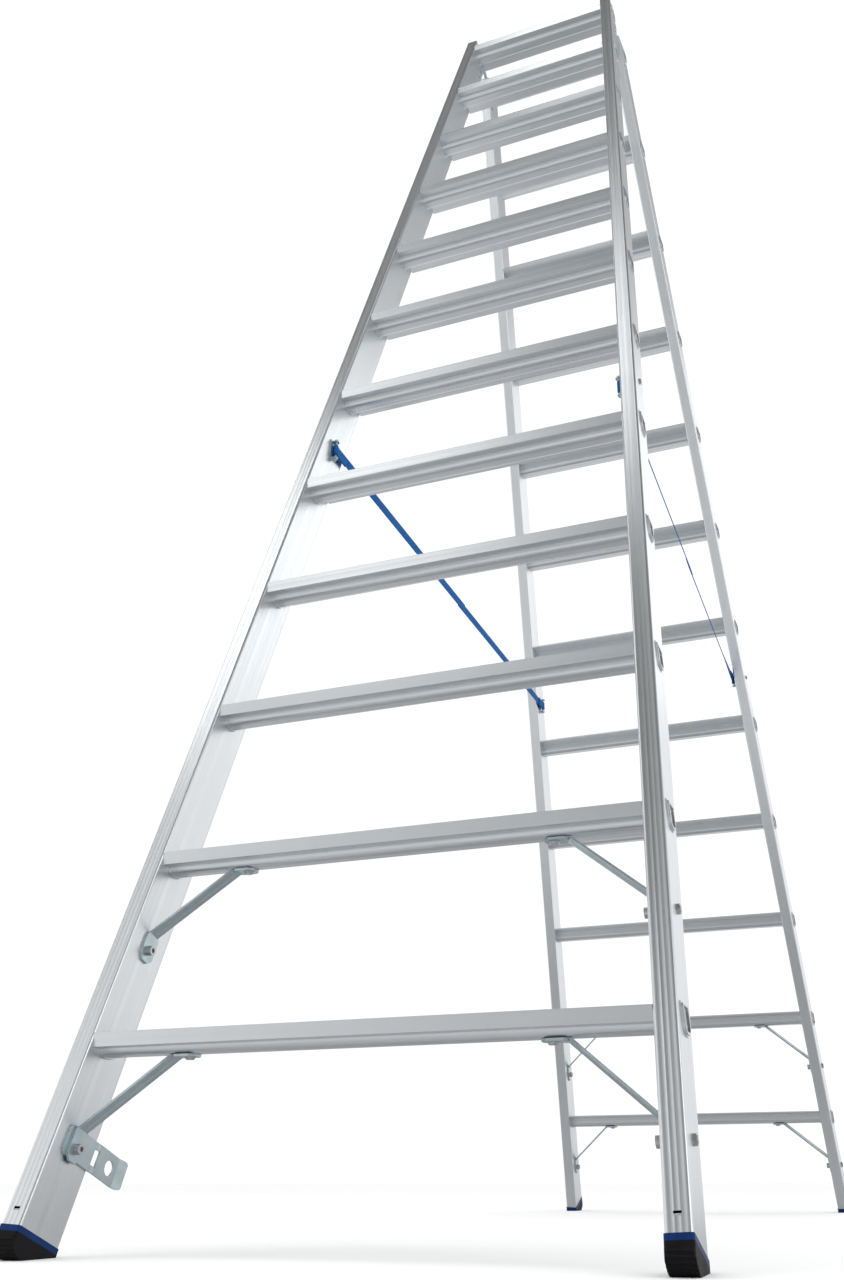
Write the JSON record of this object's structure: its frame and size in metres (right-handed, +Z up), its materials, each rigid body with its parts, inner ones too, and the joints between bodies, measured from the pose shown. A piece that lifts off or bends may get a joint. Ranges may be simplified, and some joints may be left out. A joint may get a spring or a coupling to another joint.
{
  "type": "double-sided step ladder",
  "caption": "Tall folding A-shaped aluminium step ladder, with hollow treads on both tapered flights, blue-collared rubber feet, corner braces and webbing spreader straps.",
  "frame": {"origin": "on the floor, midway between the four feet of the opened ladder", "axes": "+Z up; X across the ladder; -Y towards the front flight, which carries the latch plate on its left stile"},
  "size_m": [0.723, 2.356, 2.8368],
  "materials": {
    "stile_extrusion": "satin extruded",
    "tread_extrusion": "satin extruded, ribbed top",
    "zinc_plate": "zinc plated",
    "fastener_steel": "zinc plated",
    "foot_rubber": "matte",
    "foot_plastic": "satin",
    "webbing": "woven"
  },
  "bodies": {
    "front_flight": {"tread_front_01": "tread_extrusion", "tread_front_02": "tread_extrusion", "tread_front_03": "tread_extrusion", "tread_front_04": "tread_extrusion", "tread_front_05": "tread_extrusion", "tread_front_06": "tread_extrusion", "tread_front_07": "tread_extrusion", "tread_front_08": "tread_extrusion", "tread_front_09": "tread_extrusion", "tread_front_10": "tread_extrusion", "tread_front_11": "tread_extrusion", "tread_front_12": "tread_extrusion", "stile_front_left": "stile_extrusion", "foot_front_left": "foot_rubber", "brace_front_left_1": "zinc_plate", "brace_front_left_2": "zinc_plate", "hinge_tongue_front_left": "zinc_plate", "stile_front_right": "stile_extrusion", "foot_front_right": "foot_rubber", "brace_front_right_1": "zinc_plate", "brace_front_right_2": "zinc_plate", "hinge_tongue_front_right": "zinc_plate", "foot_inserts_front": "foot_plastic", "strap_anchors_front": "zinc_plate", "brace_bolts_front": "fastener_steel", "brace_rivets_front": "fastener_steel", "anchor_bolts_front": "fastener_steel", "hinge_rivets_front": "fastener_steel", "hinge_pins": "fastener_steel", "strap_left": "webbing", "strap_right": "webbing", "latch_plate": "zinc_plate"},
    "rear_flight": {"tread_rear_01": "tread_extrusion", "tread_rear_02": "tread_extrusion", "tread_rear_03": "tread_extrusion", "tread_rear_04": "tread_extrusion", "tread_rear_05": "tread_extrusion", "tread_rear_06": "tread_extrusion", "tread_rear_07": "tread_extrusion", "tread_rear_08": "tread_extrusion", "tread_rear_09": "tread_extrusion", "tread_rear_10": "tread_extrusion", "tread_rear_11": "tread_extrusion", "tread_rear_12": "tread_extrusion", "stile_rear_left": "stile_extrusion", "foot_rear_left": "foot_rubber", "brace_rear_left_1": "zinc_plate", "brace_rear_left_2": "zinc_plate", "hinge_tongue_rear_left": "zinc_plate", "stile_rear_right": "stile_extrusion", "foot_rear_right": "foot_rubber", "brace_rear_right_1": "zinc_plate", "brace_rear_right_2": "zinc_plate", "hinge_tongue_rear_right": "zinc_plate", "foot_inserts_rear": "foot_plastic", "strap_anchors_rear": "zinc_plate", "brace_bolts_rear": "fastener_steel", "brace_rivets_rear": "fastener_steel", "anchor_bolts_rear": "fastener_steel", "hinge_rivets_rear": "fastener_steel"}
  },
  "joints": [
    {"name": "rear_fold", "type": "hinge", "parent": "front_flight", "child": "rear_flight", "pos_m": [0, 0, 2.82485], "axis": [-1, 0, 0], "range_deg": [0, 42], "deforming": ["strap_left", "strap_right"]}
  ]
}
